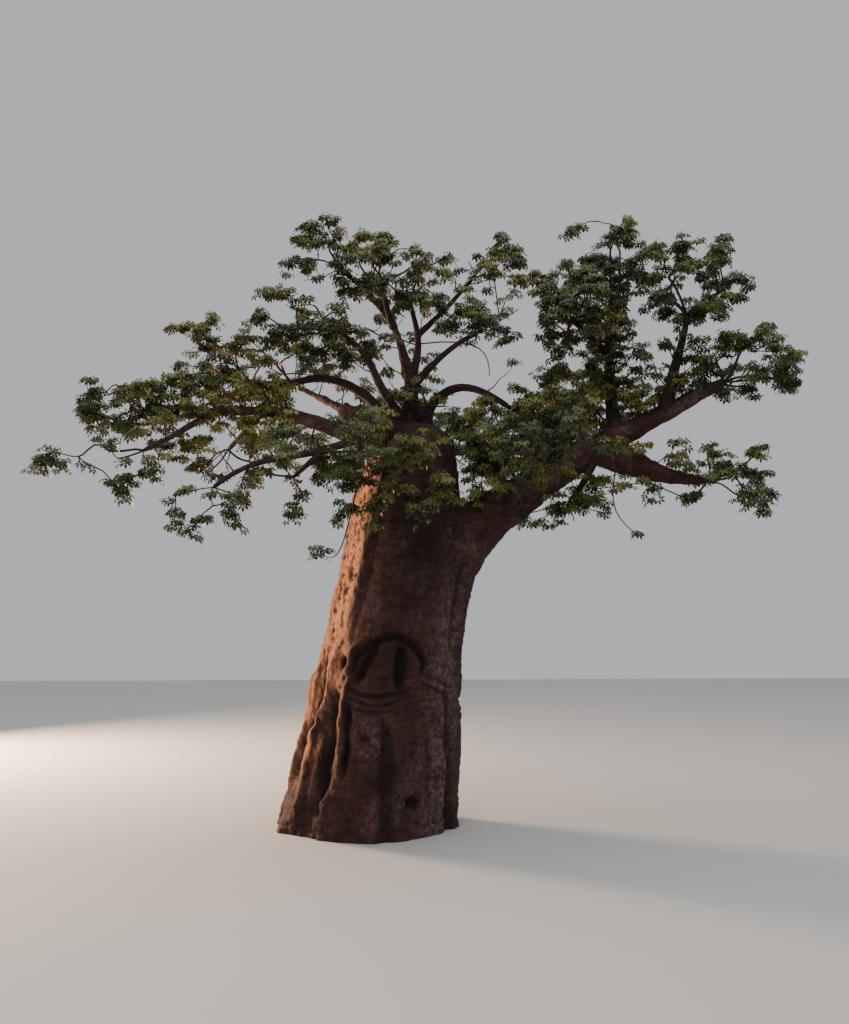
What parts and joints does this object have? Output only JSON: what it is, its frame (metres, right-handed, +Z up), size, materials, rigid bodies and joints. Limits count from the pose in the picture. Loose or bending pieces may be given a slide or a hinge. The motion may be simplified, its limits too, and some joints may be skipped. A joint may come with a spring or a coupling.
{
  "type": "baobab tree",
  "caption": "Mature baobab tree with a stout leaning trunk, a fluted foot, boughs forking from its blunt head and a spreading, open crown of leafy sprays.",
  "frame": {"origin": "centre of the flat cut under the trunk, at ground level", "axes": "+Z up, +X to the right in the picture, along the great bough, +Y away from the viewer"},
  "size_m": [11.4516, 8.8586, 9.4404],
  "materials": {
    "bark": "smooth, folded, reddish brown bark with grey streaks",
    "limb_bark": "smooth grey-brown bark",
    "foliage": "leathery dark green leaves"
  },
  "bodies": {
    "root": {"arch_bough": "limb_bark", "back_bough": "limb_bark", "back_far_foliage": "foliage", "back_left_bough": "limb_bark", "back_left_foliage": "foliage", "back_right_bough": "limb_bark", "back_right_foliage": "foliage", "crown_back_bough": "limb_bark", "crown_back_foliage": "foliage", "crown_bough": "limb_bark", "crown_far_bough": "limb_bark", "crown_far_foliage": "foliage", "crown_fork_bough": "limb_bark", "crown_left_foliage": "foliage", "crown_mid_bough": "limb_bark", "crown_mid_foliage": "foliage", "crown_right_bough": "limb_bark", "crown_right_foliage": "foliage", "crown_top_foliage": "foliage", "far_end_foliage": "foliage", "far_low_foliage": "foliage", "far_upper_bough": "limb_bark", "far_upper_foliage": "foliage", "front_bough": "limb_bark", "front_centre_foliage": "foliage", "front_droop_bough": "limb_bark", "front_far_foliage": "foliage", "head_bough": "limb_bark", "head_foliage": "foliage", "left_crest_foliage": "foliage", "left_great_bough": "limb_bark", "left_hanging_bough": "limb_bark", "left_hanging_foliage": "foliage", "left_low_bough": "limb_bark", "left_low_foliage": "foliage", "left_low_fork": "limb_bark", "left_low_inner_foliage": "foliage", "left_shoulder_bough": "limb_bark", "left_shoulder_foliage": "foliage", "left_tip_foliage": "foliage", "left_under_bough": "limb_bark", "left_under_foliage": "foliage", "left_upper_bough": "limb_bark", "right_back_bough": "limb_bark", "right_back_foliage": "foliage", "right_crest_foliage": "foliage", "right_front_bough": "limb_bark", "right_front_foliage": "foliage", "right_great_bough": "limb_bark", "right_inner_bough": "limb_bark", "right_inner_foliage": "foliage", "right_low_bough": "limb_bark", "right_mid_foliage": "foliage", "right_under_foliage": "foliage", "right_upper_bough": "limb_bark", "right_upper_foliage": "foliage", "right_upper_fork": "limb_bark", "stump": "limb_bark", "trunk": "bark", "under_bough": "limb_bark"}
  },
  "joints": []
}
